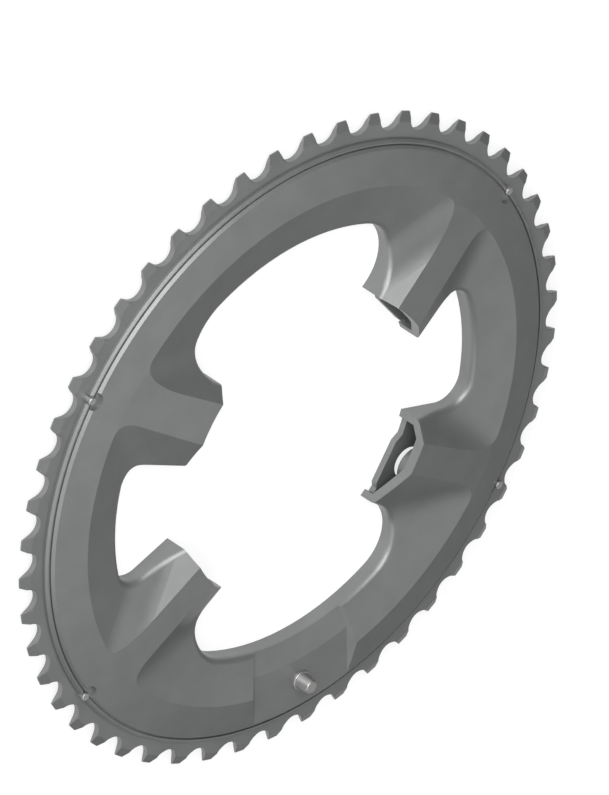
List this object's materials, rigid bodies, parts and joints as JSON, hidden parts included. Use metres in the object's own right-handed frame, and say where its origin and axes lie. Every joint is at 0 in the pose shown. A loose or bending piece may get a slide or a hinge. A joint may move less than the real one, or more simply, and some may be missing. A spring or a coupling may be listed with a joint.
{
  "type": "bicycle chainring",
  "caption": "Large outer bicycle chainring: a toothed plate under a bevelled front cover with hollow arms, a catch pin and shift pins.",
  "frame": {"origin": "on the ring's axis, in the plane of the rear face", "axes": "+Z towards the outer side of the bicycle, -Y along the fitted crank arm, +X across it"},
  "size_m": [0.2048, 0.2046, 0.0117],
  "materials": {
    "plate_metal": "satin anodised dark grey",
    "cover_metal": "satin anodised dark grey",
    "pin_steel": "satin"
  },
  "bodies": {
    "root": {"front_cover": "cover_metal", "toothed_plate": "plate_metal", "catch_pin": "pin_steel", "shift_pin_1": "pin_steel", "shift_pin_2": "pin_steel", "shift_pin_3": "pin_steel", "shift_pin_4": "pin_steel"}
  },
  "joints": []
}
